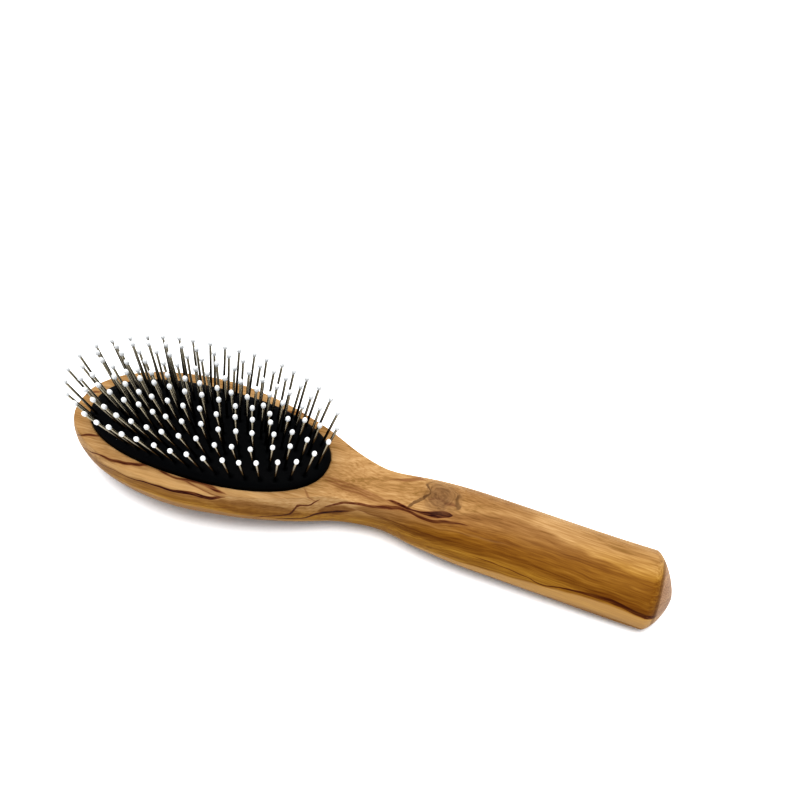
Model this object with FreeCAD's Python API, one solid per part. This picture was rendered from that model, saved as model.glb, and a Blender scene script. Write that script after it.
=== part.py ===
# A wooden pin brush that lies on its back with its pins up. Millimetres.
# X runs along the brush, from the nose of the head at -X to the end of the handle at +X.
# Y runs across the brush. Z is up. The origin is halfway along the brush, on the surface it lies on.
import FreeCAD, Part
import math
import os
import random

Vector = FreeCAD.Vector

# Wooden body: sizes along the brush
brush_length = 222.0
nose_length = 52.2            # from the tip of the nose to the widest place of the head
neck_from_head = 70.0         # from the widest place of the head to the thinnest place of the neck
handle_from_neck = 33.0       # from the thinnest place of the neck to the start of the full handle

# Wooden body: half widths
head_half_width = 27.1
neck_half_width = 9.6
handle_start_half_width = 13.8
handle_end_half_width = 14.1

# Wooden body: heights
head_thickness = 20.0         # up to the flat face round the cushion
blank_thickness = 26.6        # the rounded head before its flat face is cut
neck_thickness = 19.8
shoulder_thickness = 25.0     # the rounded wood at the end of the opening, before its top is cut
hump_thickness = 21.5         # between the neck and the handle
handle_start_thickness = 19.7
handle_end_thickness = 16.8
head_widest_height = 14.2
neck_widest_height = 10.6
handle_start_widest_height = 9.2
handle_end_widest_height = 4.8
neck_scoop_depth = 2.7        # how far the top of the neck dips below the flat face
scoop_run_out = 21.8          # from the thinnest place of the neck to where its scoop has left the wood
neck_arch = 0.5               # how far the back of the neck stands off the surface
sanded_depth = 0.35           # wood sanded off the rounded back to make the flats it lies on

# Handle end
butt_length = 7.6             # of the rounded end
handle_lean = 1.2             # how far the shaped handle's end stands off the middle line, to the near side

# Oval opening for the cushion
opening_half_length = 46.7
opening_half_width = 20.4
nose_rim = 7.6                # wood between the tip of the nose and the opening
pocket_depth = 10.5
groove_depth = 1.5            # how far the groove is cut into the wall of the pocket
groove_height = 2.4
groove_lip = 2.2              # wood left above the groove
opening_chamfer = 0.4

# Rubber cushion
cushion_clearance = 0.1
skin_thickness = 1.8
cushion_rise = 4.9            # from the foot of the dome to its crown
edge_stand = 0.4              # upright edge of the rubber above the wood, below the dome

# Pins
pin_diameter = 0.9
pin_length = 17.0             # from the rubber to the ball
pin_pitch = 5.2               # from pin to pin along a ring
ring_count = 5
ring_edge_margin = 2.7        # from the edge of the opening to the outer ring
inner_ring_half_length = 24.8
inner_ring_half_width = 1.8
ring_phases = (0.48, 0.18, 0.15, 0.95, 0.75)   # where a ring's first pin stands, in pitches
pin_lean_lengthwise = 0.42    # slope outwards of a pin at the end of the opening
pin_lean_across = 0.47        # slope outwards of a pin at the side of the opening
pin_unevenness = 0.035        # slope by which a pin may be bent off its line
nail_head_diameter = 2.2
nail_head_length = 0.7
nail_head_gap = 0.25          # between a nail head and the rubber above it
pin_sides = 4

# Ball ends
ball_diameter = 2.2
ball_length = 2.4
ball_neck_diameter = 1.4
ball_sides = 5

# Fullness of a quarter curve: 0.552 makes it a quarter of an ellipse, more makes it squarer
head_top_fullness = 0.78
shoulder_top_fullness = 0.84
neck_top_fullness = 0.80
handle_top_fullness = 0.60
head_back_fullness = 0.65
handle_back_fullness = 0.75

# Powers of the rounded forms that are worked out point by point: 2 is an ellipse
oval_power = 2.23
dome_power = 2.4
nose_plan_power = 2.07
nose_top_power = 3.0
nose_back_power = 2.3
butt_power = 1.45

# Shoulders between head and neck: share of the way, and share of the extra width still there
shoulder_shape = ((0.28, 0.85), (0.57, 0.50), (0.83, 0.08))

# Hump between neck and handle: share of the way, and share of the extra width reached there
hump_way = 0.45
hump_width_share = 0.62

# Where sections are taken
nose_angles = (88.0, 80.0, 70.0, 58.0, 44.0, 30.0, 15.0)
butt_angles = (0.0, 12.0, 24.0, 38.0, 52.0, 66.0, 78.0)
body_section_count = 24       # between the widest place of the head and the rounded handle end
dome_angles = (0.0, 20.0, 40.0, 60.0, 80.0)

# Narrow flats that the rounded forms are built of
flats_per_quarter = 6         # across the wood, for each quarter of its outline
oval_sides = 44

# Places that follow from the sizes
nose_x = -brush_length / 2
butt_x = brush_length / 2
head_x = nose_x + nose_length
neck_x = head_x + neck_from_head
handle_x = neck_x + handle_from_neck
hump_x = neck_x + handle_from_neck * hump_way
opening_x = nose_x + nose_rim + opening_half_length
opening_end_x = opening_x + opening_half_length
groove_top = head_thickness - groove_lip
groove_bottom = groove_top - groove_height
dome_foot = head_thickness + edge_stand
over = 2.0                    # how far a cutting shape reaches past the wood that it cuts


def smooth_value(x, points):
    """Value at x of a smooth curve through points, level at its ends and at its crests."""
    if x <= points[0][0]:
        return points[0][1]
    if x >= points[-1][0]:
        return points[-1][1]
    last = len(points) - 1
    slopes = [0.0] * len(points)
    for i in range(1, last):
        slope_before = (points[i][1] - points[i - 1][1]) / (points[i][0] - points[i - 1][0])
        slope_after = (points[i + 1][1] - points[i][1]) / (points[i + 1][0] - points[i][0])
        if slope_before * slope_after > 0:
            slopes[i] = 2 * slope_before * slope_after / (slope_before + slope_after)
    i = max(k for k in range(last) if points[k][0] <= x)
    start_x, start = points[i]
    end_x, end = points[i + 1]
    span = end_x - start_x
    t = (x - start_x) / span
    value = start * (1 + 2 * t) * (1 - t) ** 2 + end * t * t * (3 - 2 * t)
    return value + slopes[i] * span * t * (1 - t) ** 2 - slopes[i + 1] * span * t * t * (1 - t)


def rounded(share, power):
    """Height, from 1 to 0, of a rounded end at a share of the way out to its tip."""
    return (1 - share ** power) ** (1 / power)


def quarter(start, end, corner, fullness):
    """Points of a quarter of a rounded outline, from start up to but without end, inside the corner."""
    curve = Part.BezierCurve()
    curve.setPoles([start, start + (corner - start) * fullness, end + (corner - end) * fullness, end])
    return [curve.value(k / flats_per_quarter) for k in range(flats_per_quarter)]


def section(x, middle, half_width, widest, top, bottom, top_fullness, back_fullness):
    """Outline of the wood across the brush at x, about the middle."""
    right = Vector(x, middle - half_width, widest)
    left = Vector(x, middle + half_width, widest)
    crest = Vector(x, middle, top)
    keel = Vector(x, middle, bottom)
    points = quarter(right, crest, Vector(x, right.y, top), top_fullness)
    points += quarter(crest, left, Vector(x, left.y, top), top_fullness)
    points += quarter(left, keel, Vector(x, left.y, bottom), back_fullness)
    points += quarter(keel, right, Vector(x, right.y, bottom), back_fullness)
    return Part.makePolygon(points + points[:1])


def oval(half_length, half_width, z, sides=oval_sides):
    """Corners of an oval about the middle of the opening, at height z."""
    corners = []
    for k in range(sides):
        angle = 2 * math.pi * k / sides
        along = math.copysign(abs(math.cos(angle)) ** (2 / oval_power), math.cos(angle))
        across = math.copysign(abs(math.sin(angle)) ** (2 / oval_power), math.sin(angle))
        corners.append(Vector(opening_x + half_length * along, half_width * across, z))
    return corners


def flat_sided(rings, tip=None):
    """Solid with flat sides from ring to ring, closed by flat ends, or by a tip above the last ring."""
    def face(corners):
        return Part.Face(Part.makePolygon(corners + corners[:1]))

    sides = len(rings[0])
    faces = [face(rings[0][::-1])]
    for low, high in zip(rings, rings[1:]):
        for k in range(sides):
            n = (k + 1) % sides
            faces.append(face([low[k], low[n], high[n], high[k]]))
    last = rings[-1]
    if tip:
        faces.extend(face([last[k], last[(k + 1) % sides], tip]) for k in range(sides))
    else:
        faces.append(face(last))
    return Part.Solid(Part.Shell(faces))


def oval_block(grow, bottom, top):
    """Upright block whose outline is the opening's, grown by grow."""
    half_length = opening_half_length + grow
    half_width = opening_half_width + grow
    return flat_sided([oval(half_length, half_width, bottom), oval(half_length, half_width, top)])


def body_outlines(x):
    """Middle, half width, heights and fullnesses of the wood at x, between the nose and the rounded end."""
    half_widths = [(head_x, head_half_width)]
    for way, left_over in shoulder_shape:
        width = neck_half_width + (head_half_width - neck_half_width) * left_over
        half_widths.append((head_x + neck_from_head * way, width))
    half_widths.append((neck_x, neck_half_width))
    hump_half_width = neck_half_width + (handle_start_half_width - neck_half_width) * hump_width_share
    half_widths.append((hump_x, hump_half_width))
    half_widths.append((handle_x, handle_start_half_width))
    half_widths.append((butt_x, handle_end_half_width))
    widest_heights = [
        (head_x, head_widest_height),
        (neck_x, neck_widest_height),
        (handle_x, handle_start_widest_height),
        (butt_x, handle_end_widest_height),
    ]
    tops = [
        (head_x, blank_thickness),
        (opening_end_x, shoulder_thickness),
        (neck_x, neck_thickness),
        (hump_x, hump_thickness),
        (handle_x, handle_start_thickness),
        (butt_x, handle_end_thickness),
    ]
    bottoms = [
        (opening_end_x, -sanded_depth),
        (neck_x, neck_arch),
        (handle_x, -sanded_depth),
    ]
    top_fullnesses = [
        (head_x, head_top_fullness),
        (opening_end_x, shoulder_top_fullness),
        (neck_x, neck_top_fullness),
        (hump_x, handle_top_fullness),
    ]
    back_fullnesses = [
        (neck_x, head_back_fullness),
        (butt_x, handle_back_fullness),
    ]
    middles = [
        (neck_x, 0.0),
        (butt_x, -handle_lean),
    ]
    curves = [middles, half_widths, widest_heights, tops, bottoms, top_fullnesses, back_fullnesses]
    return [smooth_value(x, curve) for curve in curves]


def blank_of_head_and_handle():
    """The rounded wood from the nose to where the handle's rounded end starts."""
    wires = []
    for angle in nose_angles:
        share = math.sin(math.radians(angle))
        top = (blank_thickness - head_widest_height) * rounded(share, nose_top_power)
        bottom = (head_widest_height + sanded_depth) * rounded(share, nose_back_power)
        wires.append(section(
            head_x - nose_length * share,
            0.0,
            head_half_width * rounded(share, nose_plan_power),
            head_widest_height,
            head_widest_height + top,
            head_widest_height - bottom,
            head_top_fullness,
            head_back_fullness,
        ))
    for i in range(body_section_count + 1):
        x = head_x + (butt_x - butt_length - head_x) * i / body_section_count
        wires.append(section(x, *body_outlines(x)))
    return Part.makeLoft(wires, True, False)


def blank_of_handle_end():
    """The rounded end of the handle, which draws in about the widest height of the wood."""
    start_x = butt_x - butt_length
    middle, half_width, widest, top, bottom, top_fullness, back_fullness = body_outlines(start_x)
    wires = []
    for angle in butt_angles:
        share = math.sin(math.radians(angle))
        size = rounded(share, butt_power)
        wires.append(section(
            start_x + butt_length * share,
            middle,
            half_width * size,
            widest,
            widest + (top - widest) * size,
            widest - (widest - bottom) * size,
            top_fullness,
            back_fullness,
        ))
    return Part.makeLoft(wires, True, False)


def top_cutter():
    """What is cut away above the flat face of the head and the scooped top of the neck."""
    side = -2 * head_half_width
    roof = head_thickness + blank_thickness
    start = Vector(nose_x - over, side, head_thickness)
    flat_end = Vector(opening_end_x, side, head_thickness)
    lowest = Vector(neck_x - 1.0, side, head_thickness - neck_scoop_depth)
    run_out = Vector(neck_x + scoop_run_out, side, hump_thickness + 0.4)
    fall = Vector(0.45 * (lowest.x - flat_end.x), 0, 0)
    climb = Vector(0.4 * (run_out.x - lowest.x), 0, 0)
    down = Part.BezierCurve()
    down.setPoles([flat_end, flat_end + fall, lowest - fall, lowest])
    up = Part.BezierCurve()
    up.setPoles([lowest, lowest + climb, run_out - climb - Vector(0, 0, 0.6), run_out])
    roof_end = Vector(run_out.x, side, roof)
    roof_start = Vector(start.x, side, roof)
    outline = Part.Wire([
        Part.makeLine(start, flat_end),
        down.toShape(),
        up.toShape(),
        Part.makeLine(run_out, roof_end),
        Part.makeLine(roof_end, roof_start),
        Part.makeLine(roof_start, start),
    ])
    return Part.Face(outline).extrude(Vector(0, -2 * side, 0))


def wooden_body():
    wood = blank_of_head_and_handle().fuse(blank_of_handle_end())
    wood = wood.cut(top_cutter())
    floor = Part.makeBox(
        brush_length + 2 * over, 4 * head_half_width, over,
        Vector(nose_x - over, -2 * head_half_width, -over),
    )
    wood = wood.cut(floor)
    pocket = oval_block(0, head_thickness - pocket_depth, head_thickness + over)
    groove = oval_block(groove_depth, groove_bottom, groove_top)
    low = oval(opening_half_length, opening_half_width, head_thickness - opening_chamfer)
    share = 1 + 2 * opening_chamfer / opening_half_width
    high = oval(opening_half_length * share, opening_half_width * share, head_thickness + opening_chamfer)
    return wood.cut([pocket, groove, flat_sided([low, high])])


def dome(shrink, foot, rise):
    """Solid dome over the opening, its outline drawn in by shrink."""
    half_length = opening_half_length - shrink
    half_width = opening_half_width - shrink
    rings = []
    for angle in dome_angles:
        spread = math.cos(math.radians(angle)) ** (2 / dome_power)
        lift = math.sin(math.radians(angle)) ** (2 / dome_power)
        rings.append(oval(half_length * spread, half_width * spread, foot + rise * lift))
    return flat_sided(rings)


def dome_height(x, y, shrink, foot, rise):
    """Height of a dome's surface over a place given from the middle of the opening."""
    along = abs(x) / (opening_half_length - shrink)
    across = abs(y) / (opening_half_width - shrink)
    share = (along ** oval_power + across ** oval_power) ** (1 / oval_power)
    if share >= 1:
        return foot
    return foot + rise * rounded(share, dome_power)


inner_foot = dome_foot - skin_thickness / 2
inner_rise = cushion_rise - skin_thickness / 2


def rubber_cushion(pins):
    """Domed skin with a thick edge in the groove and one tight hole for each pin."""
    edge_bottom = groove_bottom + cushion_clearance
    edge = oval_block(groove_depth - cushion_clearance, edge_bottom, groove_top - cushion_clearance)
    wall = oval_block(-cushion_clearance, edge_bottom, dome_foot)
    crown = dome(cushion_clearance, dome_foot, cushion_rise)
    hollow_wall = oval_block(-skin_thickness, edge_bottom - over, inner_foot)
    hollow_crown = dome(skin_thickness, inner_foot, inner_rise)
    outside = edge.fuse([wall, crown])
    inside = hollow_wall.fuse(hollow_crown)
    return outside.cut(inside).cut(pins)


def ring_places(ring):
    """Places of a ring's pins, evenly spaced along its oval, from the middle of the opening."""
    share = ring / max(ring_count - 1, 1)
    half_length = (opening_half_length - ring_edge_margin) * (1 - share) + inner_ring_half_length * share
    half_width = (opening_half_width - ring_edge_margin) * (1 - share) + inner_ring_half_width * share
    points = oval(half_length, half_width, 0, 720)
    points.append(points[0])
    lengths = [0.0]
    for start, end in zip(points, points[1:]):
        lengths.append(lengths[-1] + (end - start).Length)
    count = round(lengths[-1] / pin_pitch)
    places = []
    i = 0
    for k in range(count):
        wanted = (k + ring_phases[ring % len(ring_phases)]) * lengths[-1] / count
        while lengths[i + 1] < wanted:
            i += 1
        part_way = (wanted - lengths[i]) / (lengths[i + 1] - lengths[i])
        place = points[i] + (points[i + 1] - points[i]) * part_way
        places.append((place.x - opening_x, place.y))
    return places


def pin_line(x, y, chance):
    """Where a pin leaves the rubber, and its direction."""
    lean_x = pin_lean_lengthwise * x / opening_half_length + chance.uniform(-1, 1) * pin_unevenness
    lean_y = pin_lean_across * y / opening_half_width + chance.uniform(-1, 1) * pin_unevenness
    direction = Vector(lean_x, lean_y, 1).normalize()
    foot = Vector(opening_x + x, y, dome_height(x, y, 0, dome_foot, cushion_rise))
    return foot, direction


def across(direction, diameter, sides):
    """Corners of a regular outline across a pin, from its middle."""
    along = Vector(1, 0, 0)
    first = (along - direction * along.dot(direction)).normalize() * diameter / 2
    second = direction.cross(first)
    corners = []
    for k in range(sides):
        angle = 2 * math.pi * k / sides
        corners.append(first * math.cos(angle) + second * math.sin(angle))
    return corners


def nail_head_depth(foot, direction):
    """How far below its foot a pin's head starts, so that all of the head clears the rubber."""
    depth = skin_thickness
    reach = nail_head_diameter / 2
    while True:
        centre = foot - direction * depth
        slope_room = []
        for k in range(8):
            angle = math.pi * k / 4
            x = centre.x + reach * math.cos(angle) - opening_x
            y = centre.y + reach * math.sin(angle)
            slope_room.append(dome_height(x, y, skin_thickness, inner_foot, inner_rise))
        if centre.z + reach * math.hypot(direction.x, direction.y) + nail_head_gap <= min(slope_room):
            return depth
        depth += 0.1


def steel_pin(foot, direction):
    """Straight wire with a flared head below the rubber."""
    head_top = foot - direction * nail_head_depth(foot, direction)
    head_bottom = head_top - direction * nail_head_length
    end = foot + direction * pin_length
    wire = across(direction, pin_diameter, pin_sides)
    head = across(direction, nail_head_diameter, pin_sides)
    return flat_sided([
        [head_bottom + corner for corner in head],
        [head_top + corner for corner in wire],
        [end + corner for corner in wire],
    ])


def ball_end(foot, direction):
    """Slightly long ball that sits on the end of a pin."""
    start = foot + direction * pin_length
    neck = across(direction, ball_neck_diameter, ball_sides)
    wide = across(direction, ball_diameter, ball_sides)
    low = start + direction * ball_length * 0.32
    high = start + direction * ball_length * 0.70
    return flat_sided([
        [start + corner for corner in neck],
        [low + corner for corner in wide],
        [high + corner for corner in wide],
    ], start + direction * ball_length)


def save(name, shape):
    shape.exportStep("parts/" + name + ".step")
    print(name, len(shape.Solids), round(shape.Volume, 1), shape.isValid())


os.makedirs("parts", exist_ok=True)
chance = random.Random(7)
all_pins = []
for ring in range(ring_count):
    groups = {"front": ([], []), "back": ([], [])}
    for x, y in ring_places(ring):
        foot, direction = pin_line(x, y, chance)
        pins, balls = groups["front" if y < 0 else "back"]
        pins.append(steel_pin(foot, direction))
        balls.append(ball_end(foot, direction))
    for side, (pins, balls) in groups.items():
        save("pins_ring_%d_%s" % (ring + 1, side), Part.makeCompound(pins))
        save("ball_ends_ring_%d_%s" % (ring + 1, side), Part.makeCompound(balls))
        all_pins.extend(pins)
save("wooden_body", wooden_body())
save("rubber_cushion", rubber_cushion(all_pins))
print("pins", len(all_pins))
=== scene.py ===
# %% [markdown]
# # A pin brush in olive wood
#
# The brush lies on its back on a white table, with its pins up. The CAD model has its pieces: a wooden
# body, a rubber cushion, the steel pins and their ball ends. This lesson loads that model as a fixed
# frame and dresses it, so that each piece gets the smooth form and the finish of the real one.

# %% Load the CAD model
import math

import bmesh
import bpy
from mathutils import Matrix, Vector
from mathutils.kdtree import KDTree


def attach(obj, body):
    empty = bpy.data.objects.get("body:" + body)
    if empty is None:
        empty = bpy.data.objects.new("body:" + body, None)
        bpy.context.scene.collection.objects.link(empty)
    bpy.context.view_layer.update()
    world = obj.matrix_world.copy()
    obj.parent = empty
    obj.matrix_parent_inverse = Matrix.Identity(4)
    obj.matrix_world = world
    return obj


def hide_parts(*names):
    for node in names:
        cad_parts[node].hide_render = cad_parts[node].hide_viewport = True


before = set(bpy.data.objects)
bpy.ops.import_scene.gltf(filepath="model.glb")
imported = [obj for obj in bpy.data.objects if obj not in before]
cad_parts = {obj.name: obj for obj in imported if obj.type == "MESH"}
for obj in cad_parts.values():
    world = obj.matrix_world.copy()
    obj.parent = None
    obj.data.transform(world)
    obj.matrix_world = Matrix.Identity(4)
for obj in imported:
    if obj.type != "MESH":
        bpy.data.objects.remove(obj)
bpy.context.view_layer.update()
MM = 0.001                      # the scene is in metres, and the sizes below are in millimetres

# %% [markdown]
# ## Colours and nodes
#
# A colour that is picked from a screen is an sRGB value, and Blender's shaders want linear light. One
# function turns a hex code into the linear value. Another adds a node, because a material is only a list
# of nodes: it sets the node's own settings, sets or links its inputs, and fills in the stops of a colour
# ramp or the points of a curve. An input goes by its name or by its number, because some nodes have
# several of one name. A Map Range takes its value in 0, the range that it comes from in 1 and 2, and the
# range that it goes to in 3 and 4. A Mix takes the share in 0 and either two numbers in 2 and 3 or two
# colours in 6 and 7, and it gives a mixed colour from its output 2.


# %% Helpers for materials
def linear(hex_code):
    """Linear RGBA of an sRGB hex code."""
    channels = [int(hex_code[i:i + 2], 16) / 255 for i in (1, 3, 5)]
    return [c / 12.92 if c <= 0.04045 else ((c + 0.055) / 1.055) ** 2.4 for c in channels] + [1.0]


def add(tree, kind, inputs=(), stops=(), points=(), **settings):
    """Adds a node with its settings, inputs, ramp stops (place, hex code) and curve points (x, y)."""
    node = tree.nodes.new("ShaderNode" + kind)
    for name, value in settings.items():
        setattr(node, name, value)
    for name, value in dict(inputs).items():
        if isinstance(value, bpy.types.Node):
            value = value.outputs[0]
        if isinstance(value, bpy.types.NodeSocket):
            tree.links.new(value, node.inputs[name])
        else:
            node.inputs[name].default_value = value
    for k, (place, hex_code) in enumerate(stops):
        ramp = node.color_ramp.elements
        stop = ramp[k] if k < 2 else ramp.new(place)
        stop.position = place
        stop.color = linear(hex_code)
    for k, place in enumerate(points):
        curve = node.mapping.curves[0].points
        if k < 2:
            curve[k].location = place
        else:
            curve.new(*place)
        node.mapping.update()
    return node


def new_material(name, **constants):
    """A material with its node tree and its shader, whose constant inputs are given."""
    material = bpy.data.materials.new(name)
    material.use_nodes = True
    shader = material.node_tree.nodes["Principled BSDF"]
    for socket, value in constants.items():
        shader.inputs[socket.replace("_", " ")].default_value = value
    return material, material.node_tree, shader


def place_on_object(tree):
    """The place of the point that is being shaded, in millimetres."""
    metres = add(tree, "TexCoord").outputs["Object"]
    return add(tree, "VectorMath", {0: metres, "Scale": 1 / MM}, operation="SCALE")


cover = {"data_type": "RGBA"}                            # a Mix that lays one colour over another
stain = {"data_type": "RGBA", "blend_type": "MULTIPLY"}  # a Mix that darkens, as a dye does
soft = {"interpolation_type": "SMOOTHSTEP"}              # a Map Range that starts and ends gently
print("sRGB #808080 in linear light:", [round(c, 3) for c in linear("#808080")[:3]])

# %% [markdown]
# ## The camera
#
# The photograph looks down on the brush from the side of the handle, at about 48 degrees. The direction,
# the distance and the lens below come from fitting the brush's outline. The brush isn't quite in the
# middle of the picture, so the camera is moved sideways until the aim point shows where it should.

# %% Camera
picture = 800                   # pixels along each side
azimuth, elevation, roll = math.radians(19.81), math.radians(47.59), math.radians(-0.13)
distance, focal = 299.77, 849.34                # millimetres, pixels
sensor = 36                                     # millimetres, the usual width
aim = Vector((-1.0, 0, 10))                     # a point in the brush, in millimetres
aim_u, aim_v = 353.38, 491.99                   # where that point shows, in pixels

right = Vector((math.cos(azimuth), math.sin(azimuth), 0))
back = Vector((
    math.sin(azimuth) * math.cos(elevation),
    -math.cos(azimuth) * math.cos(elevation),
    math.sin(elevation),
))
right = Matrix.Rotation(roll, 3, back) @ right
up = back.cross(right)
stand = aim + back * distance
stand -= right * (aim_u - picture / 2) * distance / focal
stand += up * (aim_v - picture / 2) * distance / focal

camera_data = bpy.data.cameras.new("camera")
camera_data.sensor_width = sensor
camera_data.lens = focal * sensor / picture
camera_data.clip_start = 0.01
camera = bpy.data.objects.new("camera", camera_data)
camera.matrix_world = Matrix.Translation(stand * MM) @ Matrix((right, up, back)).transposed().to_4x4()
bpy.context.scene.collection.objects.link(camera)
bpy.context.scene.camera = camera
print("lens:", round(camera_data.lens, 1), "mm, camera at", [round(c, 3) for c in camera.location])

# %% [markdown]
# ## Table and light
#
# The brush was photographed on bright white paper under soft studio light: the paper burns out to pure
# white, and only a soft grey shadow shows in front of the brush. An area lamp could be the softbox, but
# it would light only the paper near the brush, and the paper would turn grey farther off. So the softbox
# is a sun lamp that looks 64 degrees wide, which lights all of the sheet alike, and a faintly cool white
# surrounding gives nearly as much again. Together they are about twice what the paper needs to show as
# white, as in the overexposed photograph, and that keeps the shadow narrow. The view transform is
# Standard, because a filmic one would turn the white paper grey, and a gamma below 1 gives the
# photograph's stronger contrast. The paper itself isn't one flat white: its pulp is mottled, with spots
# about 1 mm across.

# %% White paper
reach = 3.0                                     # metres from the middle to each side
clearance = 0.1 * MM                            # keeps the paper out of the plane of the wood's flats
floor_mesh = bpy.data.meshes.new("white_paper")
corners = [(-reach, -reach, 0), (reach, -reach, 0), (reach, reach, 0), (-reach, reach, 0)]
floor_mesh.from_pydata(corners, [], [(0, 1, 2, 3)])
floor = bpy.data.objects.new("white_paper", floor_mesh)
floor.location.z = -clearance
bpy.context.scene.collection.objects.link(floor)

paper, tree, shader = new_material("matt_white_paper", Roughness=0.9, Specular_IOR_Level=0.1)
spots_in_mm = 0.9                               # spots to each millimetre
pulp = add(tree, "TexNoise", {"Vector": place_on_object(tree), "Scale": spots_in_mm, "Detail": 2.0})
mottle = add(tree, "ValToRGB", {0: pulp}, stops=[(0.3, "#F3F3F3"), (0.7, "#F6F6F6")])
tree.links.new(mottle.outputs[0], shader.inputs["Base Color"])
floor_mesh.materials.append(paper)
print("paper:", 2 * reach, "m square")

# %% Studio light
lamp = bpy.data.lights.new("overhead_softbox", "SUN")
lamp.energy = 4.6                               # watts on each square metre of the table
lamp.angle = math.radians(64)                   # how wide the softbox looks from the table
lamp_direction = Vector((0, 0.07, 1))           # overhead, a little towards the far side
holder = bpy.data.objects.new("overhead_softbox", lamp)
holder.rotation_euler = lamp_direction.to_track_quat("Z", "Y").to_euler()
bpy.context.scene.collection.objects.link(holder)

surround_strength = 1.1
surround = bpy.data.worlds.new("white_studio")
surround.use_nodes = True
surround.node_tree.nodes["Background"].inputs["Color"].default_value = linear("#F2F7FF")
surround.node_tree.nodes["Background"].inputs["Strength"].default_value = surround_strength
bpy.context.scene.world = surround
bpy.context.scene.view_settings.view_transform = "Standard"
bpy.context.scene.view_settings.gamma = 0.78
print("light from the lamp:", round(lamp.energy / math.pi, 2), "and from around:", surround_strength)

# %% [markdown]
# ## Reading a pin's line from the CAD model
#
# The CAD pins and balls are plain flat-sided solids, many in one node. Each solid is an island of the
# node's mesh. The corners at its two ends give the line that the real, round piece follows, so the
# smooth pieces stand exactly where the CAD ones do.


# %% Islands of a node
def islands(node):
    """Corner points of each separate solid of a CAD node, in metres."""
    mesh = bmesh.new()
    mesh.from_mesh(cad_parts[node].data)
    bmesh.ops.remove_doubles(mesh, verts=mesh.verts, dist=0.005 * MM)
    left = set(mesh.verts)
    found = []
    while left:
        island, edge = set(), {left.pop()}
        while edge:
            island |= edge
            edge = {e.other_vert(v) for v in edge for e in v.link_edges} - island
        left -= island
        found.append([v.co.copy() for v in island])
    mesh.free()
    return found


def middle(points):
    """Middle of some points."""
    return sum(points, Vector()) / len(points)


def ends(points, count):
    """Middle of the lowest and of the highest few points of an upright solid."""
    points = sorted(points, key=lambda p: p.z)
    return middle(points[:count]), middle(points[-count:])


first = islands("pins_ring_1_front")
print("pins in the front of the first ring:", len(first), "with", len(first[0]), "corners each")


# %% A round form along a line
def turned(mesh, start, direction, profile, sides):
    """Adds a round form to the mesh: profile lists (distance along the line, radius) in millimetres."""
    turn = direction.to_track_quat("Z", "Y").to_matrix()
    rings = []
    for along, radius in profile:
        ring = []
        for k in range(sides):
            angle = 2 * math.pi * k / sides
            corner = turn @ Vector((radius * math.cos(angle), radius * math.sin(angle), along))
            ring.append(mesh.verts.new(start + corner * MM))
        rings.append(ring)
    for low, high in zip(rings, rings[1:]):
        for k in range(sides):
            n = (k + 1) % sides
            mesh.faces.new((low[k], low[n], high[n], high[k]))
    mesh.faces.new(rings[0][::-1])
    mesh.faces.new(rings[-1])


# %% A finished piece from a mesh
def piece_from(mesh, name, nodes, material):
    """Makes a finished piece of the object from a bmesh, in place of CAD nodes."""
    data = bpy.data.meshes.new(name)
    mesh.to_mesh(data)
    mesh.free()
    for polygon in data.polygons:
        polygon.use_smooth = True
    piece = bpy.data.objects.new(name, data)
    bpy.context.scene.collection.objects.link(piece)
    data.materials.append(material)
    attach(piece, "root")
    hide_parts(*nodes)
    return piece


# %% [markdown]
# ## Steel pins
#
# The pins are steel wire, 0.9 mm thick, drawn through a die, cut and headed like nails. Drawing leaves a
# bright grey surface with faint lines along the wire. The eye sees a dark wire with one light stripe,
# because a thin polished cylinder squeezes all its surroundings into stripes. An image of the wire could
# give that from one side only, so the material is a real metal: its colour is the reflection's tint, it
# keeps the default IOR, and its roughness is low. The drawn lines are finer than a pixel, so they are
# drawn 0.15 mm wide and 5 mm long, as coarse as they need to be to break up the stripe. The tint darkens
# from the ball down to the foot as painted shade, for the shade and the dark rubber that the wire reflects
# near its foot.

# %% Drawn steel
line_width, line_length = 0.15, 5
# painted shade: below the first height the wire's tint is dark, above the second it is full
full_shade_height, unshaded_height = 27.0, 43.0        # between them the wire goes from dark to bright
drawn_steel, tree, shader = new_material("drawn_steel_wire", Metallic=1.0)
place = place_on_object(tree)
scale = (1 / line_width, 1 / line_width, 1 / line_length)
lines_place = add(tree, "VectorMath", {0: place, 1: scale}, operation="MULTIPLY")
lines = add(tree, "TexNoise", {"Vector": lines_place, "Scale": 1.0, "Detail": 2.0})
tint = add(tree, "ValToRGB", {0: lines}, stops=[(0.35, "#8E8672"), (0.65, "#B4AB97")])
gloss = add(tree, "MapRange", {0: lines, 1: 0.3, 2: 0.7, 3: 0.1, 4: 0.18})
height = add(tree, "SeparateXYZ", {0: place}).outputs["Z"]
# painted shade: the tint darkens from the ball down to the foot
unshaded_share = add(tree, "MapRange", {0: height, 1: full_shade_height, 2: unshaded_height, 3: 0.1, 4: 1.0})
shaded_tint = add(tree, "VectorMath", {0: tint, "Scale": unshaded_share}, operation="SCALE")
tree.links.new(shaded_tint.outputs[0], shader.inputs["Base Color"])
tree.links.new(gloss.outputs[0], shader.inputs["Roughness"])
print("nodes in the drawn steel:", len(tree.nodes))

# %% [markdown]
# ## Ball ends
#
# Each pin ends in a small ball so that it doesn't scratch. The balls are made by dipping the tips in
# liquid nylon or epoxy, which draws itself into a drop a little longer than it is wide. The drop could be
# a stretched sphere, but a dipped drop has a narrow collar where it runs out onto the wire, so it is a
# turned profile instead. The plastic is white and glossy, and it lets a little light in, which keeps its
# shaded side bright. The light here is about twice what a white thing needs to show as white, so the
# colour is set to a light grey. Otherwise the balls would burn out and lose their round look.

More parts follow.
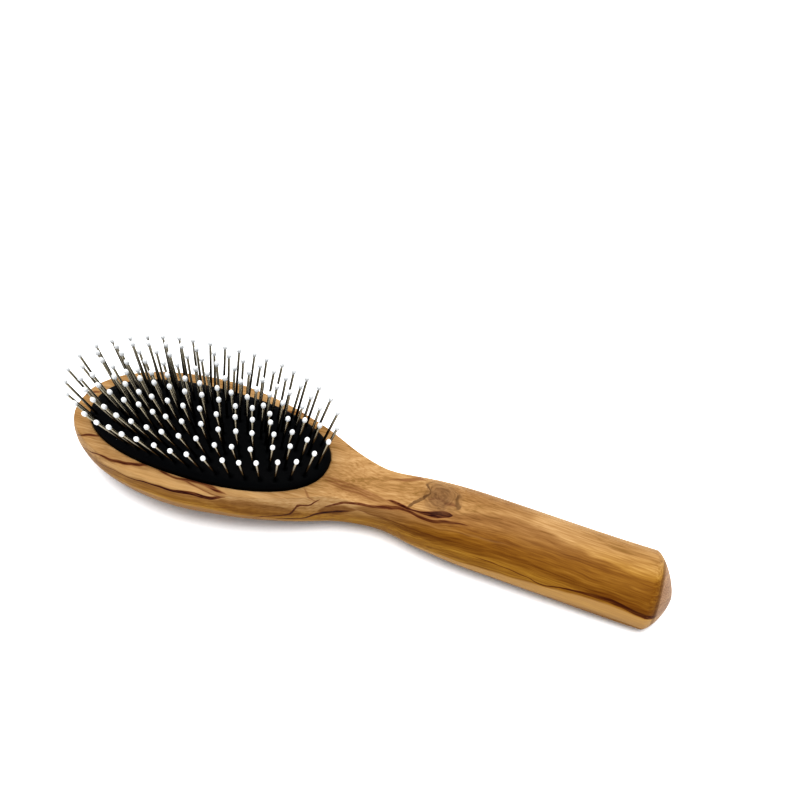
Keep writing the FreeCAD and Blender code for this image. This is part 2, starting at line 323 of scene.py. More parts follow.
# %% Dipped plastic
ball_plastic, tree, shader = new_material("dipped_white_nylon", IOR=1.53, Subsurface_Weight=0.15)
shader.inputs["Subsurface Radius"].default_value = (1, 1, 1)
shader.inputs["Subsurface Scale"].default_value = 0.4 * MM
cloud_size = 1.5
cloud = add(tree, "TexNoise", {"Vector": place_on_object(tree), "Scale": 1 / cloud_size, "Detail": 2.0})
white = add(tree, "ValToRGB", {0: cloud}, stops=[(0.3, "#C4C4C2"), (0.7, "#D0D0CE")])
gloss = add(tree, "MapRange", {0: cloud, 1: 0.3, 2: 0.7, 3: 0.22, 4: 0.34})
tree.links.new(white.outputs[0], shader.inputs["Base Color"])
tree.links.new(gloss.outputs[0], shader.inputs["Roughness"])
print("nodes in the dipped plastic:", len(tree.nodes))

# %% [markdown]
# ## Pins and balls on their lines
#
# A pin could be a curve with a round bevel, but its nail head and its ball change their width along the
# line. So both are turned like work on a lathe: a profile of distances and radii is swept round the
# line. The wire starts as a nail head 2 mm wide, hidden under the rubber, and the ball starts at its
# collar.

# %% Pins and balls
wire_radius, nail_radius, nail_height = 0.45, 1.0, 0.7
wire_sides, ball_sides = 16, 18
pin_corners, ball_corners = 4, 5                # corners round the CAD pins and the CAD balls
ball_profile = [
    (0.0, 0.46), (0.1, 0.54), (0.3, 0.7), (0.6, 0.82), (1.0, 0.88),
    (1.35, 0.86), (1.7, 0.76), (2.0, 0.58), (2.2, 0.36), (2.3, 0.12),
]
pin_lines = []                                  # the low end and the direction of each pin
for name in sorted(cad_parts):
    if name.startswith("pins_"):
        mesh = bmesh.new()
        for points in islands(name):
            low, high = ends(points, pin_corners)
            length = (high - low).length / MM
            direction = (high - low).normalized()
            pin_lines.append((low / MM, direction))
            wire_profile = [
                (0, nail_radius), (nail_height, wire_radius), (nail_height + 0.1, wire_radius),
                (length - 0.1, wire_radius), (length, wire_radius - 0.05),
            ]
            turned(mesh, low, direction, wire_profile, wire_sides)
        pins = piece_from(mesh, "steel_" + name, [name], drawn_steel)
    elif name.startswith("ball_ends_"):
        mesh = bmesh.new()
        for points in islands(name):
            low = ends(points, ball_corners)[0]
            high = max(points, key=lambda p: p.z)
            turned(mesh, low, (high - low).normalized(), ball_profile, ball_sides)
        balls = piece_from(mesh, "plastic_" + name, [name], ball_plastic)
print("pins:", len(pin_lines))

# %% [markdown]
# ## Rubber cushion
#
# The cushion is one moulded skin of soft black rubber, domed over a closed chamber of air, with a bead
# round its edge that snaps into a groove in the wood. It isn't sewn or stuffed, so no cloth simulation is
# needed: air holds it up in a tight, even dome. The dome is built ring by ring from the same oval and the
# same rise as the CAD solid, and finely enough for the small dent round each pin, where the nail's head
# pulls on the rubber. A bump map could fake the dents, but then the outline against the wood would stay
# too clean, and the exported mesh would lose them.

# %% Shape of the dome
opening_x = -56.7                               # middle of the oval opening, along the brush
dome_length, dome_width = 46.6, 20.3            # half sizes of the oval
oval_power, dome_power = 2.23, 2.4              # 2 would be an ellipse
dome_foot, dome_rise = 20.4, 4.9


def on_oval(angle, share, grow=0.0):
    """Place on the opening's oval, drawn in to a share of its size or grown by some millimetres."""
    c, s = math.cos(angle), math.sin(angle)
    x = math.copysign(abs(c) ** (2 / oval_power), c) * (dome_length + grow) * share
    y = math.copysign(abs(s) ** (2 / oval_power), s) * (dome_width + grow) * share
    return x + opening_x, y


def dome_height(x, y):
    """Height of the dome over a place, in millimetres."""
    across = abs((x - opening_x) / dome_length) ** oval_power + abs(y / dome_width) ** oval_power
    share = across ** (1 / oval_power)
    return dome_foot + dome_rise * (1 - min(share, 1.0) ** dome_power) ** (1 / dome_power)


print("height of the dome's crown:", round(dome_height(opening_x, 0), 2), "mm")

# %% Dents round the pins
dent_depth, dent_reach = 0.45, 0.8
lip_height, lip_reach, lip_width = 0.12, 1.5, 0.45
feet = KDTree(len(pin_lines))
for k, (low, direction) in enumerate(pin_lines):
    foot = low
    for step in range(4):                       # each step comes nearer to where the pin meets the dome
        foot = foot + direction * (dome_height(foot.x, foot.y) - foot.z) / direction.z
    feet.insert((foot.x, foot.y, 0), k)
feet.balance()


def dented(x, y):
    """Height of the rubber at a place, with the dent and the low lip round the nearest pin."""
    away = feet.find((x, y, 0))[2]
    dent = dent_depth * math.exp(-(away / dent_reach) ** 2)
    lip = lip_height * math.exp(-((away - lip_reach) / lip_width) ** 2)
    return dome_height(x, y) - dent + lip


print("height of the dented crown:", round(dented(opening_x, 0), 2), "mm")

# %% Cushion mesh
dome_sides, dome_rings = 288, 84
bead = [(0.0, 17.7), (1.4, 17.7), (1.4, 15.5), (-1.7, 15.5)]    # (growth, height) below the dome's foot
mesh = bmesh.new()
rings = []
for k in range(1, dome_rings + 1):
    share = math.sin(math.pi / 2 * k / dome_rings)
    ring = []
    for i in range(dome_sides):
        x, y = on_oval(2 * math.pi * i / dome_sides, share)
        z = dented(x, y) if k < dome_rings else dome_foot
        ring.append(mesh.verts.new(Vector((x, y, z)) * MM))
    rings.append(ring)
for grow, z in bead:
    ring = []
    for i in range(dome_sides):
        x, y = on_oval(2 * math.pi * i / dome_sides, 1.0, grow)
        ring.append(mesh.verts.new(Vector((x, y, z)) * MM))
    rings.append(ring)
crown = mesh.verts.new(Vector((opening_x, 0, dented(opening_x, 0))) * MM)
for i in range(dome_sides):
    n = (i + 1) % dome_sides
    mesh.faces.new((crown, rings[0][i], rings[0][n]))
    for inner, outer in zip(rings, rings[1:]):
        mesh.faces.new((inner[i], outer[i], outer[n], inner[n]))
mesh.faces.new(rings[-1][::-1])
print("cushion faces:", len(mesh.faces))

# %% [markdown]
# ## Moulded rubber
#
# The rubber is filled with carbon black, which makes it one of the darkest things in a house: a few
# hundredths of the light come back from it, and most of that is a dull reflection from its skin. Its IOR
# is about 1.52, and the mould leaves it satin. The photograph's strong contrast swallows even that, so
# the colour is set to almost nothing and the reflection is turned down until both are as black as they
# show there. Rubber draws dust, so a few pale specks about 0.3 mm wide lie on it, from a cell texture
# with one dot for each cell of 4 mm, most of which are too faint to see. A fine bump, 0.5 mm across, is
# the texture that the mould left.

# %% Black rubber
cloud_size, speck_spacing, skin_size = 7, 4, 0.5
speck_core, speck_edge = 0.12, 0.2              # radii of a speck, where it begins to fade and ends
black_rubber, tree, shader = new_material("moulded_black_rubber", IOR=1.52, Specular_IOR_Level=0.03)
place = place_on_object(tree)
cloud = add(tree, "TexNoise", {"Vector": place, "Scale": 1 / cloud_size, "Detail": 3.0})
black = add(tree, "ValToRGB", {0: cloud}, stops=[(0.35, "#010102"), (0.65, "#020304")])
cells = add(tree, "TexVoronoi", {"Vector": place, "Scale": 1 / speck_spacing})
fade = {1: speck_core / speck_spacing, 2: speck_edge / speck_spacing, 3: 1.0, 4: 0.0}
speck = add(tree, "MapRange", {0: cells.outputs["Distance"], **fade})
chosen = add(tree, "SeparateXYZ", {0: cells.outputs["Color"]})
shown = add(tree, "MapRange", {0: chosen, 1: 0.55, 2: 1.0, 3: 0.0, 4: 0.5})
dust = add(tree, "Math", {0: speck, 1: shown}, operation="MULTIPLY")
dusty = add(tree, "Mix", {0: dust, 6: black.outputs[0], 7: linear("#7C808A")}, **cover)
gloss = add(tree, "MapRange", {0: cloud, 1: 0.3, 2: 0.7, 3: 0.5, 4: 0.6})
skin = add(tree, "TexNoise", {"Vector": place, "Scale": 1 / skin_size, "Detail": 2.0})
bump = add(tree, "Bump", {"Height": skin, "Strength": 0.2, "Distance": 0.05 * MM})
tree.links.new(dusty.outputs[2], shader.inputs["Base Color"])
tree.links.new(gloss.outputs[0], shader.inputs["Roughness"])
tree.links.new(bump.outputs[0], shader.inputs["Normal"])
print("nodes in the black rubber:", len(tree.nodes))

# %% Cushion
cushion = piece_from(mesh, "domed_rubber_cushion", ["rubber_cushion"], black_rubber)
print("cushion size, mm:", [round(side / MM, 1) for side in cushion.dimensions])

# %% [markdown]
# ## Olive wood: where a point lies in the log
#
# The body was sawn from one plank of olive wood, shaped, sanded and oiled. Its grain isn't paint on the
# surface: each dark line is a layer that grew through the tree, and it comes out wherever the shaped
# surface cuts it. A photograph could be wrapped round the mesh, but then the lines would break at every
# edge. So the pattern is worked out for points in space. The layers lie along the brush and tilt across
# it, and "girth" is the number that tells them apart: it runs from 0 at the near side of the table, up
# the near side to 20 at the crease, and across the flat face to 45 at the far rim, in millimetres. Each
# drawn line then says at which girth its layer lies, along the brush. A little noise is added first,
# because no grown line is smooth. Curves work between 0 and 1, so the place along the brush is counted
# as a share of its length, and girth as a share of 50 mm.

# %% Coordinates in the wood
brush_length, girth_span = 222.0, 50.0
tilt, table_girth = 0.5, 12.5                   # rise of the layers across the brush, girth at its axis
wander_length, wander_width, wander_reach = 9, 5, 1.4
olive_wood, wood, shader = new_material("oiled_olive_wood", IOR=1.5, Specular_IOR_Level=0.04)
place = place_on_object(wood)
along = add(wood, "SeparateXYZ", {0: place}).outputs["X"]
share = add(wood, "Math", {0: along, 1: 1 / brush_length, 2: 0.5}, operation="MULTIPLY_ADD")

scale = (1 / wander_length, 1 / wander_width, 1 / wander_width)
wander_place = add(wood, "VectorMath", {0: place, 1: scale}, operation="MULTIPLY")
wander = add(wood, "TexNoise", {"Vector": wander_place, "Scale": 1.0, "Detail": 1.0})
start = table_girth - wander_reach / 2
wandering = add(wood, "Math", {0: wander, 1: wander_reach, 2: start}, operation="MULTIPLY_ADD")
tilted = add(wood, "VectorMath", {0: place, 1: (0, tilt, 1)}, operation="DOT_PRODUCT").outputs["Value"]
girth = add(wood, "Math", {0: tilted, 1: wandering}, operation="ADD")
girth = add(wood, "Math", {0: girth, 1: 1 / girth_span}, operation="MULTIPLY")
print("girth at the brush's axis on the table:", table_girth, "mm")

# %% [markdown]
# ## Olive wood: lines drawn one by one
#
# The lines of this plank are written as short lists of (place along the brush, girth, half width), in
# millimetres. Two Float Curves turn a list into a smooth line that swells and tapers, and a Map Range
# softens its edge. Any list can be moved or left out without touching the rest. The same helper draws the
# fine dark veins, the broad brown zones with a painted shade by the table, and the pale streaks of painted
# highlight and painted reflection, only with another softness.


# %% A helper that draws streaks
def drawn(points, place=share, span=brush_length):
    """A smooth curve through points (place, millimetres), as a share of the girth's span."""
    shares = [(x / span + 0.5, size / girth_span) for x, size in points]
    return add(wood, "FloatCurve", {"Value": place}, points=shares)


def streaks(lines, softness, place=share, level=girth, span=brush_length):
    """A mask of drawn streaks: each has its strength and its points (place, level, half width)."""
    mask = 0.0
    for strength, points in lines:
        height = drawn([(x, height) for x, height, half in points], place, span)
        half = drawn([(x, half) for x, height, half in points], place, span)
        off = add(wood, "Math", {0: level, 1: height}, operation="SUBTRACT")
        off = add(wood, "Math", {0: off}, operation="ABSOLUTE")
        inside = add(wood, "Math", {0: half, 1: off}, operation="SUBTRACT")
        edge = {1: 0.0, 2: softness / girth_span, 3: 0.0, 4: strength}
        streak = add(wood, "MapRange", {0: inside, **edge}, **soft)
        mask = add(wood, "Math", {0: mask, 1: streak}, operation="MAXIMUM")
    return mask


# %% Dark veins of the head
head_veins = [
    (0.78, [(-106, 21.4, 0.13), (-103.5, 22.1, 0.35), (-99, 24.4, 0.43), (-94, 25.1, 0.35),
        (-91, 25.3, 0)]),
    (0.88, [(-101, 18, 0), (-98, 18.9, 0.3), (-93, 20.4, 0.39), (-87.5, 21.4, 0.48), (-80, 21.4, 0.48),
        (-72.5, 22.1, 0.48), (-69, 22.4, 0.39), (-60, 21.9, 0.39), (-54, 21.9, 0.39), (-46, 22.2, 0.48),
        (-40, 21.8, 0.35), (-37, 21.3, 0)]),
    (0.62, [(-61, 21.8, 0), (-54, 21.6, 0.3), (-48.5, 21.1, 0.3), (-43.5, 20.9, 0.3), (-39, 20.6, 0.3),
        (-37, 20.4, 0)]),
    (0.97, [(-94, 16.5, 0), (-91, 16.8, 0.26), (-84, 17.4, 0.3), (-73, 17.4, 0.39), (-65.5, 18.2, 0.48),
        (-57.5, 18.5, 0.65), (-50, 19.1, 0.9), (-44, 18.8, 0.9), (-41, 19.7, 0.9), (-39, 20.5, 0.43),
        (-37, 21, 0)]),
    (0.46, [(-60, 13.4, 0), (-54.5, 13.7, 0.3), (-45.5, 14, 0.3), (-41, 14.8, 0.35), (-37, 15.6, 0.3),
        (-33, 16, 0)]),
    (0.62, [(-111, 33.5, 0.35), (-108, 33.9, 0.48), (-106, 34.5, 0.43), (-103, 35, 0)]),
    (0.62, [(-100, 40.5, 0), (-84, 39.2, 0.35), (-62, 39.8, 0.43), (-44, 41, 0.35), (-28, 42.5, 0.3),
        (-20, 43, 0)]),
    (0.72, [(-78, 34.5, 0), (-60, 33.8, 0.39), (-38, 35.2, 0.52), (-20, 37.5, 0.39), (-8, 38.5, 0)]),
]
print("veins drawn on the head:", len(head_veins))

# %% Dark veins of the neck
neck_veins = [
    (0.83, [(-32, 10.8, 0), (-28.5, 11.9, 0.35), (-21.5, 14.6, 0.48), (-17.7, 16.1, 0.65),
        (-15.5, 19.5, 0.95), (-14, 21.5, 0.6), (-11.5, 21.7, 0.48), (-9, 24, 0.6), (-7.5, 25.4, 0)]),
    (0.37, [(-15, 27.6, 0), (-13, 26.6, 0.43), (-9, 24.2, 0.43), (-7.5, 23.4, 0)]),
    (0.94, [(-24, 11.6, 0), (-21, 12.5, 0.39), (-13.5, 14, 0.48), (-9, 17.2, 0.73), (-5, 18.4, 0.65),
        (-2, 19.6, 0.78), (3, 21.4, 0)]),
    (0.32, [(-14, 30.8, 0), (-8, 30.6, 0.36), (-2, 29.9, 0.36), (5, 28.6, 0.36), (12, 27.6, 0.29),
        (17, 27.2, 0)]),
    (0.38, [(-12, 30.1, 0), (-6, 29.7, 0.36), (0, 29, 0.36), (7, 27.9, 0.29), (14, 27.2, 0)]),
    (0.38, [(-10, 29.6, 0), (-4, 28.9, 0.29), (3, 28, 0.36), (9, 27.2, 0.29), (14, 26.9, 0)]),
]
print("veins drawn on the neck:", len(neck_veins))

# %% Dark veins of the hump and the handle
handle_veins = [
    (0.78, [(-7, 20.6, 0), (-5, 21.9, 0.65), (-2, 24, 0.69), (1.5, 25.2, 0.65), (8, 25.2, 0.6),
        (15, 26.6, 0.56), (21, 27.8, 0.56), (29, 27.5, 0.65), (37.5, 28.3, 0.52), (45, 28.5, 0)]),
    (0.46, [(0, 22, 0), (3.3, 22.6, 0.3), (9.5, 22, 0.35), (23, 22.2, 0.35), (38, 22.4, 0.3),
        (46, 22.6, 0)]),
    (0.97, [(12, 27.4, 0), (16, 28, 0.43), (20, 28.4, 0.52), (25, 28.9, 0.48), (29, 29.4, 0.8),
        (32, 29.7, 1.15), (34.5, 30, 1.0), (37, 30.2, 0)]),
    (0.83, [(44, 19.4, 0), (49, 19.1, 0.3), (56.5, 18.3, 0.3), (65, 17.2, 0.35), (69, 16, 0.35),
        (79, 17.2, 0.5), (88.5, 17.5, 0.9), (95.5, 16.7, 1.0), (104.5, 15.2, 0.9), (111, 14.2, 0.7)]),
    (0.61, [(26.5, 32.5, 0), (28, 32.7, 0.36), (29.7, 33.4, 0.43), (31.7, 33.2, 0.43), (33, 32.6, 0.43),
        (35.6, 32.7, 0.43), (37.5, 32.4, 0)]),
    (0.43, [(8, 31, 0), (15.5, 33, 0.43), (21.7, 35.2, 0.5), (25, 36.2, 0.5), (32, 36.6, 0.43),
        (38, 36.2, 0)]),
]
veins = streaks(head_veins + neck_veins + handle_veins, softness=0.35)
print("veins drawn on the hump and the handle:", len(handle_veins))

# %% Brown zones and painted shade
brown_zones_and_shade = [
    (0.4, [(-62, 21.8, 0), (-54, 21.8, 1.2), (-46, 21.6, 1.6), (-39, 21.2, 1.0), (-36, 21, 0)]),
    (0.4, [(-104, 17.5, 0), (-96, 17, 2.2), (-86, 16, 2.6), (-76, 15, 0)]),
    (0.4, [(-80, 15, 0), (-70, 15.8, 2.4), (-58, 16.6, 3.0), (-48, 16.6, 2.8), (-40, 17, 2.6),
        (-34, 17.5, 0)]),
    (0.6, [(-43, 17, 0), (-34, 17, 4.2), (-26, 17, 4.2), (-19, 17, 3.5), (-13, 17, 0)]),
    (0.8, [(-9, 18.6, 0), (-5, 19.5, 3.0), (-2, 20.5, 3.4), (1, 21.5, 2.6), (5, 22.4, 0)]),
    (0.4, [(-15, 31, 0), (-9, 30.2, 1.2), (-4, 29.5, 1.7), (0.5, 28.6, 1.9), (7, 27.4, 1.6),
        (13, 27.1, 1.2), (18, 27, 0)]),
    (0.6, [(2, 23, 0), (12, 24, 3.5), (24, 24.5, 5), (36, 25.5, 6), (56.5, 26.2, 7), (68.5, 25.2, 6.5),
        (83.5, 23.5, 5.8), (94, 22.6, 5.4), (111, 22.2, 5.4)]),
    (0.7, [(33, 27.6, 0), (39, 27.3, 1.8), (46, 27, 2.4), (55, 26.6, 2.2), (66, 26, 0)]),
    (0.4, [(27, 36.6, 0), (32, 36.5, 1.4), (38, 35.4, 2.2), (45, 34.6, 2.2), (55, 33.6, 1.6),
        (66, 33, 0)]),
    (0.6, [(50, 27.2, 0), (54, 26.9, 1.5), (67, 25.5, 1.9), (80.5, 24.5, 1.9), (93.5, 23.5, 1.8),
        (103, 22.4, 1.5), (110, 22, 0)]),
    (0.9, [(80, 18.5, 0), (87, 19, 1.8), (95, 18.4, 2.2), (104, 17.2, 2.3), (111, 16.5, 2.0)]),
    # painted shade: this zone darkens the low strip of the near side, beside the table
    (0.8, [(-95, 10, 3), (-60, 9, 4.2), (-20, 8, 4.2), (0, 9, 3), (20, 11, 2), (60, 10.5, 2),
        (111, 10, 2)]),
]
zones = streaks(brown_zones_and_shade, softness=1.6)
print("brown zones:", len(brown_zones_and_shade))

# %% Painted highlights and painted reflection of the table
highlight_zones = [
    # painted highlight: a thin pale line along the near side of the hump and the handle
    (0.15, [(0, 22.4, 0), (3, 23.5, 0.7), (11, 24.3, 0.8), (19.5, 26.1, 0.8), (34, 25.9, 0.7),
        (54, 26.1, 0.6), (62, 26, 0)]),
    # painted highlight: pale bands along the head's near crease and the flat face beside it, these two
    (0.5, [(-90, 19.2, 0), (-80, 19.4, 1.6), (-65, 20.2, 1.8), (-52, 20.4, 1.3), (-44, 20.2, 1.0),
        (-39, 20.6, 0)]),
    (0.4, [(-62, 22.6, 0), (-50, 22.4, 1.1), (-40, 22.4, 1.2), (-28, 22.8, 1.0), (-18, 23.5, 0)]),
    # painted reflection of the white table: pale strips along the low near side, these two
    (0.35, [(-95, 10, 3), (-60, 9, 4.5), (-20, 8, 4.5), (0, 9, 3), (20, 11, 1.6), (60, 10.5, 1.2),
        (111, 10, 1.2)]),
    (0.55, [(12, 12, 1.6), (45, 12.5, 2.4), (70, 12.8, 3.0), (88, 13.2, 3.2), (98, 12.3, 3.2),
        (111, 11, 3.2)]),
]
# pale: the mask of these painted highlights and painted reflections
pale = streaks(highlight_zones, softness=1.0)
print("pale zones:", len(highlight_zones))

# %% [markdown]
# ## Olive wood: growth layers and fibres
#
# Between the drawn lines the wood isn't even. Growth layers 1 to 3 mm thick run the length of the plank
# and follow its drawn lines, and each layer is a bundle of fibres. Three noises give that, each stretched
# along the grain: broad clouds 7 mm across, layers 1.3 mm across, and fibres. Real fibres and pores are
# about 0.1 mm wide, too fine to show, so they are drawn 0.5 mm wide.

# %% Layers and fibres
flow = drawn([
    (-111, 18), (-70, 20), (-40, 21), (-20, 21.5), (0, 23.5), (20, 26), (40, 28), (60, 28.5),
    (85, 26.5), (111, 25),
])
layer = add(wood, "Math", {0: girth, 1: flow}, operation="SUBTRACT")
layer = add(wood, "Math", {0: layer, 1: girth_span}, operation="MULTIPLY")
depth = add(wood, "VectorMath", {0: place, 1: (0, 1, -tilt)}, operation="DOT_PRODUCT").outputs["Value"]
grain = add(wood, "CombineXYZ", {0: along, 1: layer, 2: depth})

noises = []
for size, detail in [((60, 7, 25), 2.0), ((70, 1.3, 12), 3.0), ((9, 0.5, 0.7), 2.0)]:
    scale = [1 / side for side in size]
    stretched = add(wood, "VectorMath", {0: grain, 1: scale}, operation="MULTIPLY")
    noises.append(add(wood, "TexNoise", {"Vector": stretched, "Scale": 1.0, "Detail": detail}))
clouds, layers, fibres = noises
tone = add(wood, "Mix", {0: 0.5, 2: clouds, 3: layers})
tone = add(wood, "Mix", {0: 0.38, 2: tone, 3: fibres})
print("nodes in the wood so far:", len(wood.nodes))

# %% [markdown]
# ## Olive wood: colour
#
# Oiled olive wood is yellow tan, and its veins are nearly black-red. Oil wets the fibres, which deepens
# the colour and leaves a satin surface, with an IOR of about 1.5. The colours are laid on from broad to
# fine: a ramp of tones for the top, and a darker, more saturated golden one for the near sides below the
# crease and along the handle, which is painted shade of the sides that turn away from the overhead light.
# Then come the brown zones, with painted shade along the low side by the table, the painted highlights
# and the painted reflection of the table, then the veins. A vein could be one dark colour, but then its
# soft edge would look grey. So it is stained twice, as by a thin dye: warm brown all over, and dark
# red-brown again where it is strong.

# %% Ground colours
# painted shade: below this drawn edge the near sides take a darker, more saturated golden colour
shaded_sides_blend, shaded_sides_share = 7.0, 0.9     # width of the change of colour, and how far it goes
shaded_sides_edge = drawn([
    (-111, 16), (-90, 19), (-50, 21), (-5, 22), (12, 25), (28, 29), (45, 32), (68, 32), (85, 32.3),
    (111, 33),
])
inside = add(wood, "Math", {0: shaded_sides_edge, 1: girth}, operation="SUBTRACT")
change = {1: 0.0, 2: shaded_sides_blend / girth_span, 3: 0.0, 4: shaded_sides_share}
shaded_sides = add(wood, "MapRange", {0: inside, **change}, **soft)
tan = add(wood, "ValToRGB", {0: tone}, stops=[
    (0.38, "#785A31"), (0.46, "#8C6C44"), (0.53, "#977850"), (0.62, "#A58760"),
])
# painted shade: the colour of the shaded sides
shaded_golden = add(wood, "ValToRGB", {0: tone}, stops=[
    (0.38, "#6C460E"), (0.46, "#7C5614"), (0.53, "#89641C"), (0.62, "#987530"),
])
ground = add(wood, "Mix", {0: shaded_sides, 6: tan.outputs[0], 7: shaded_golden.outputs[0]}, **cover)
print("width of the change to heartwood:", shaded_sides_blend, "mm")

# %% Zones and veins
# the brown zones, with the painted shade of the low strip by the table
browned_and_shaded = add(wood, "Mix", {0: zones, 6: ground.outputs[2], 7: linear("#B89A68")}, **stain)
# painted highlights and painted reflection of the table, laid on in a pale colour
highlighted = add(wood, "Mix", {0: pale, 6: browned_and_shaded.outputs[2], 7: linear("#AF8F62")}, **cover)
broken = add(wood, "MapRange", {0: fibres, 1: 0.36, 2: 0.56, 3: 0.6, 4: 1.0})
veins = add(wood, "Math", {0: veins, 1: broken}, operation="MULTIPLY")
stained = add(wood, "Mix", {0: veins, 6: highlighted.outputs[2], 7: linear("#AC5C1E")}, **stain)
vein_cores = add(wood, "Math", {0: veins, 1: veins}, operation="MULTIPLY")
veined = add(wood, "Mix", {0: vein_cores, 6: stained.outputs[2], 7: linear("#6E2408")}, **stain)
print("nodes in the wood so far:", len(wood.nodes))

# %% [markdown]
# ## Olive wood: the knot
#
# Where a branch left the tree, the layers close into rings. The knot sits on the hump between the neck
# and the handle. A Wave texture would give even rings, like a target, and real ones are torn open. So its
# arcs are drawn by the same helper, now round the branch: the place is the angle, counted from the far
# side in degrees, and the level is the distance from the middle of the branch, both bent by a little
# noise. The wood inside the arcs is a greyer brown, and fine torn rings about 0.9 mm apart run round it.

# %% Place round the branch
knot_middle = (31.0, 1.0, 20.0)
bend_size, bend_reach = 3, 2.4                  # how wide the bends of the rings are, and how far they go
bends = add(wood, "TexNoise", {"Vector": place, "Scale": 1 / bend_size, "Detail": 3.0})
bent = add(wood, "VectorMath", {0: bends.outputs["Color"], "Scale": bend_reach}, operation="SCALE")
centre = [c + bend_reach / 2 for c in knot_middle]
from_knot = add(wood, "VectorMath", {0: place, 1: centre}, operation="SUBTRACT")
from_knot = add(wood, "VectorMath", {0: from_knot, 1: bent}, operation="ADD")
from_knot = add(wood, "VectorMath", {0: from_knot, 1: (-1, 1, 0)}, operation="MULTIPLY")
parts = add(wood, "SeparateXYZ", {0: from_knot})
angle = add(wood, "Math", {0: parts.outputs["X"], 1: parts.outputs["Y"]}, operation="ARCTAN2")
angle = add(wood, "Math", {0: angle, 1: 1 / (2 * math.pi), 2: 0.5}, operation="MULTIPLY_ADD")
radius = add(wood, "VectorMath", {0: from_knot}, operation="LENGTH").outputs["Value"]
radius = add(wood, "Math", {0: radius, 1: 1 / girth_span}, operation="MULTIPLY")
print("middle of the knot:", knot_middle)

# %% Arcs of the knot
knot_arcs = [
    (0.65, [(-30, 6.8, 0), (-11, 6.7, 0.4), (18, 7.2, 0.5), (42, 6.9, 0.6), (59, 6.9, 0.8),
        (68, 5.9, 0.9), (83, 4.1, 0.8), (101, 4.6, 0.9), (113, 6.5, 1.6), (121, 8.9, 2.4),
        (128, 11, 0)]),
    (0.5, [(0, 6.2, 0), (10, 6.1, 0.4), (29, 5.5, 0.5), (51, 5.5, 0.5), (65, 4.7, 0.5), (80, 3.3, 0.5),
        (97, 2.0, 0.5), (112, 1.4, 0)]),
    (0.35, [(-78, 6.8, 0), (-59, 6.3, 0.7), (-42, 5.4, 0.5), (-11, 4.5, 0.4), (20, 5.0, 0.4),
        (38, 5.2, 0)]),
    (0.5, [(-122, 6.8, 0), (-104, 6.4, 1.3), (-90, 5.6, 0.9), (-64, 5.8, 1.0), (-48, 6.4, 0)]),
    (0.25, [(-60, 3.2, 0), (-30, 3.0, 0.4), (10, 3.4, 0.4), (50, 3.2, 0.5), (90, 2.9, 0.4),
        (120, 3.4, 0)]),
    (0.25, [(-160, 3.6, 0), (-130, 3.2, 0.6), (-100, 2.6, 0.5), (-75, 2.4, 0)]),
]
arcs = streaks(knot_arcs, softness=0.8, place=angle, level=radius, span=360.0)
arcs = add(wood, "Math", {0: arcs, 1: broken}, operation="MULTIPLY")
print("arcs drawn round the knot:", len(knot_arcs))

# %% Colour of the knot
core_fade = {1: 2.0 / girth_span, 2: 8.5 / girth_span, 3: 0.8, 4: 0.0}
core = add(wood, "MapRange", {0: radius, **core_fade}, **soft)
cored = add(wood, "Mix", {0: core, 6: veined.outputs[2], 7: linear("#6E5236")}, **cover)

ring_spacing, pieces_round = 0.9, 5
scale = (pieces_round, girth_span / ring_spacing, 1)
swirl_place = add(wood, "CombineXYZ", {0: angle, 1: radius})
swirl_place = add(wood, "VectorMath", {0: swirl_place, 1: scale}, operation="MULTIPLY")
swirl = add(wood, "TexNoise", {"Vector": swirl_place, "Scale": 1.0, "Detail": 2.0})
swirl = add(wood, "ValToRGB", {0: swirl}, stops=[(0.42, "#9C8468"), (0.56, "#FFFFFF")])
swirl_fade = {1: 4.0 / girth_span, 2: 9.0 / girth_span, 3: 0.35, 4: 0.0}
near_knot = add(wood, "MapRange", {0: radius, **swirl_fade}, **soft)
swirled = add(wood, "Mix", {0: near_knot, 6: cored.outputs[2], 7: swirl.outputs[0]}, **stain)
knotted = add(wood, "Mix", {0: arcs, 6: swirled.outputs[2], 7: linear("#5E3A1C")}, **stain)
print("nodes in the wood so far:", len(wood.nodes))
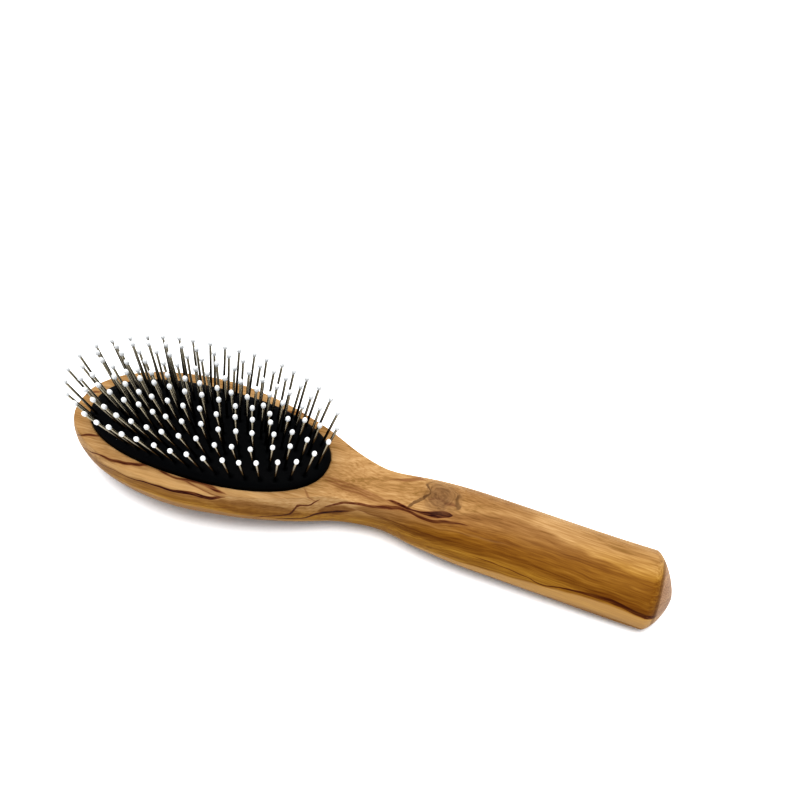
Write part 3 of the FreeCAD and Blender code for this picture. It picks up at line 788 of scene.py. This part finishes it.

# %% [markdown]
# ## Olive wood: end grain
#
# At the end of the handle the fibres are cut across. End grain is paler and greyer than the sides, and
# a thin, faint dark line runs round where the face begins.

# %% End face
face_start, face_full, face_share = 105.8, 107.4, 0.85
rim_place, rim_half_width, rim_share = 106.2, 0.5, 0.4
face_change = {1: face_start, 2: face_full, 3: 0.0, 4: face_share}
end_face = add(wood, "MapRange", {0: along, **face_change}, **soft)
cut_ends = add(wood, "ValToRGB", {0: tone}, stops=[(0.42, "#7E6450"), (0.5, "#947860"), (0.58, "#A0866A")])
faced = add(wood, "Mix", {0: end_face, 6: knotted.outputs[2], 7: cut_ends.outputs[0]}, **cover)
rim = add(wood, "Math", {0: along, 1: rim_place, 2: rim_half_width}, operation="COMPARE")
rim = add(wood, "Math", {0: rim, 1: rim_share}, operation="MULTIPLY")
rimmed = add(wood, "Mix", {0: rim, 6: faced.outputs[2], 7: linear("#4A2C12")}, **cover)
print("end face from", face_start, "mm along")

# %% [markdown]
# ## Olive wood: surface
#
# Sanding and oil leave a satin skin with the fibres just raised, so the fibres drive both a little bump
# and the roughness. Sanding also rounded the edges by about 1 mm. A bevel in the mesh could do that, but
# the creases run into each other at shallow angles where it would tear, so a Bevel node rounds them in
# the shading.

# %% Surface of the oiled wood
sanded_radius, fibre_height = 1.0, 0.05
gloss = add(wood, "MapRange", {0: fibres, 1: 0.3, 2: 0.7, 3: 0.38, 4: 0.5})
edge = add(wood, "Bevel", {"Radius": sanded_radius * MM}, samples=4)
raised = {"Height": fibres, "Strength": 0.25, "Distance": fibre_height * MM, "Normal": edge}
bump = add(wood, "Bump", raised)
wood.links.new(rimmed.outputs[2], shader.inputs["Base Color"])
wood.links.new(gloss.outputs[0], shader.inputs["Roughness"])
wood.links.new(bump.outputs[0], shader.inputs["Normal"])
print("nodes in the olive wood:", len(wood.nodes))

# %% [markdown]
# ## Wooden body
#
# The CAD body is already the right shape, with narrow flats that run along it. It is copied, its doubled
# corners are joined, and it is shaded smooth wherever two flats meet at a small angle, so only the true
# creases stay sharp: the edge of the flat face, the neck's scoop and the rim of the opening.

# %% Smooth body with true creases
crease_angle = math.radians(32)
joined, smallest = 0.002, 0.01                  # corners this near are one, edges this short go
mesh = bmesh.new()
mesh.from_mesh(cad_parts["wooden_body"].data)
bmesh.ops.remove_doubles(mesh, verts=mesh.verts, dist=joined * MM)
bmesh.ops.dissolve_degenerate(mesh, edges=mesh.edges, dist=smallest * MM)
for edge in mesh.edges:
    edge.smooth = len(edge.link_faces) == 2 and edge.calc_face_angle(0) < crease_angle
print("creases:", sum(not edge.smooth for edge in mesh.edges), "of", len(mesh.edges), "edges")
body = piece_from(mesh, "oiled_wooden_body", ["wooden_body"], olive_wood)
